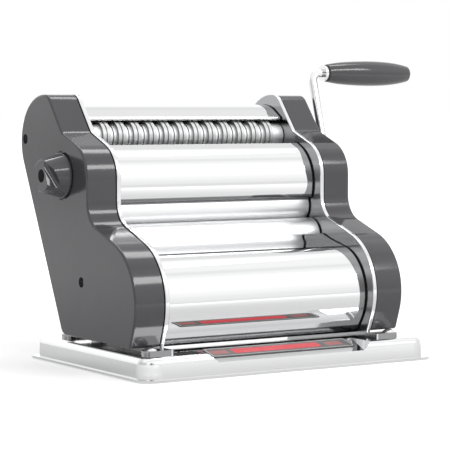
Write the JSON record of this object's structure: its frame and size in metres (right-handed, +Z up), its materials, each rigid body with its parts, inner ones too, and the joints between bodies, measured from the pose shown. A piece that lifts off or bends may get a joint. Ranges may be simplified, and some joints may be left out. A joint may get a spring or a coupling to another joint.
{
  "type": "pasta machine",
  "caption": "Hand cranked pasta machine with smooth sheet rollers, wide and thin cutting rollers, a thickness knob, sheet covers, end housings and a pressed base.",
  "frame": {"origin": "centre of the base's footprint at the level of the table", "axes": "+X along the roller axes from the knob side to the crank side, +Y to the back, +Z up; the feeding side faces -Y"},
  "size_m": [0.3738, 0.2081, 0.2326],
  "materials": {
    "polished_chrome": "polished chrome plate",
    "housing_grey": "glossy dark grey",
    "grip_grey": "satin dark grey",
    "knob_grey": "glossy dark grey",
    "roller_satin": "satin turned",
    "gear_steel": "oiled machined steel",
    "zinc_steel": "bright zinc plate",
    "blackened_steel": "blackened",
    "bush_bronze": "plain bearing bronze",
    "foot_rubber": "matte black",
    "label_dark": "dark print with plain red bars"
  },
  "bodies": {
    "frame": {"base": "polished_chrome", "base_feet": "foot_rubber", "label_plate": "label_dark", "left_side_plate": "polished_chrome", "right_side_plate": "polished_chrome", "left_housing": "housing_grey", "right_housing": "housing_grey", "housing_screws": "blackened_steel", "foot_bolts": "polished_chrome", "foot_nuts": "zinc_steel", "top_cover": "polished_chrome", "middle_cover": "polished_chrome", "front_cover": "polished_chrome", "rear_cover": "polished_chrome", "delivery_chute": "polished_chrome", "tie_rods": "zinc_steel", "tie_rod_screws": "zinc_steel", "plate_bushes": "bush_bronze", "wide_comb_lower": "zinc_steel", "wide_comb_upper": "zinc_steel", "thin_comb_upper": "zinc_steel", "thin_comb_lower": "zinc_steel", "roller_scraper": "zinc_steel", "regulator_bracket": "zinc_steel", "bracket_screws": "zinc_steel", "crank_bush": "bush_bronze"},
    "regulator": {"regulator_knob": "knob_grey", "knob_shaft": "zinc_steel", "scroll_cam": "gear_steel", "knob_screw": "blackened_steel"},
    "swing": {"left_swing_arm": "gear_steel", "right_swing_arm": "gear_steel", "swing_pivot_shaft": "gear_steel", "follower_pin": "gear_steel", "swing_bushes": "bush_bronze"},
    "adjustable_roller": {"adjustable_roller": "roller_satin", "adjustable_roller_gear": "gear_steel"},
    "fixed_roller": {"fixed_roller": "roller_satin", "fixed_roller_gear": "gear_steel", "fixed_roller_drive_gear": "gear_steel"},
    "drive": {"wide_cutter_lower": "roller_satin", "crank_gear": "gear_steel", "wide_gear_lower": "gear_steel"},
    "wide_upper": {"wide_cutter_upper": "roller_satin", "wide_gear_upper": "gear_steel", "transfer_gear_front": "gear_steel"},
    "thin_upper": {"thin_cutter_upper": "roller_satin", "thin_gear_upper": "gear_steel", "transfer_gear_rear": "gear_steel"},
    "thin_lower": {"thin_cutter_lower": "roller_satin", "thin_gear_lower": "gear_steel"},
    "crank": {"crank_arm": "polished_chrome", "grip_ferrule": "polished_chrome", "grip_rivet": "polished_chrome"},
    "grip": {"crank_grip": "grip_grey"}
  },
  "joints": [
    {"name": "crank_spin", "type": "hinge", "parent": "frame", "child": "drive", "pos_m": [0, 0.06231, 0.14902], "axis": [1, 0, 0], "continuous": true},
    {"name": "fixed_roller_spin", "type": "hinge", "parent": "frame", "child": "fixed_roller", "pos_m": [0, 0.03675, 0.1146], "axis": [1, 0, 0], "continuous": true},
    {"name": "adjustable_roller_spin", "type": "hinge", "parent": "swing", "child": "adjustable_roller", "pos_m": [0, 0.02117, 0.09097], "axis": [1, 0, 0], "continuous": true},
    {"name": "wide_upper_spin", "type": "hinge", "parent": "frame", "child": "wide_upper", "pos_m": [0, 0.06991, 0.17047], "axis": [1, 0, 0], "continuous": true},
    {"name": "thin_upper_spin", "type": "hinge", "parent": "frame", "child": "thin_upper", "pos_m": [0, 0.09473, 0.17901], "axis": [1, 0, 0], "continuous": true},
    {"name": "thin_lower_spin", "type": "hinge", "parent": "frame", "child": "thin_lower", "pos_m": [0, 0.09868, 0.15661], "axis": [1, 0, 0], "continuous": true},
    {"name": "crank_pull", "type": "slide", "parent": "drive", "child": "crank", "axis": [1, 0, 0], "range_m": [0, 0.032]},
    {"name": "grip_spin", "type": "hinge", "parent": "crank", "child": "grip", "pos_m": [0, 0.0836, 0.222], "axis": [1, 0, 0], "continuous": true},
    {"name": "knob_turn", "type": "hinge", "parent": "frame", "child": "regulator", "pos_m": [0, 0.0495, 0.14175], "axis": [1, 0, 0], "range_deg": [0, 320]},
    {"name": "swing_turn", "type": "hinge", "parent": "frame", "child": "swing", "pos_m": [0, 0.0433, 0.077], "axis": [1, 0, 0], "range_deg": [0, 5.7]}
  ],
  "couplings": [
    {"joint": "fixed_roller_spin", "follows": "crank_spin", "ratio": -0.96},
    {"joint": "adjustable_roller_spin", "follows": "crank_spin", "ratio": 0.96},
    {"joint": "wide_upper_spin", "follows": "crank_spin", "ratio": -1},
    {"joint": "thin_upper_spin", "follows": "crank_spin", "ratio": 1},
    {"joint": "thin_lower_spin", "follows": "crank_spin", "ratio": -1},
    {"joint": "swing_turn", "follows": "knob_turn", "ratio": 0.017813}
  ]
}
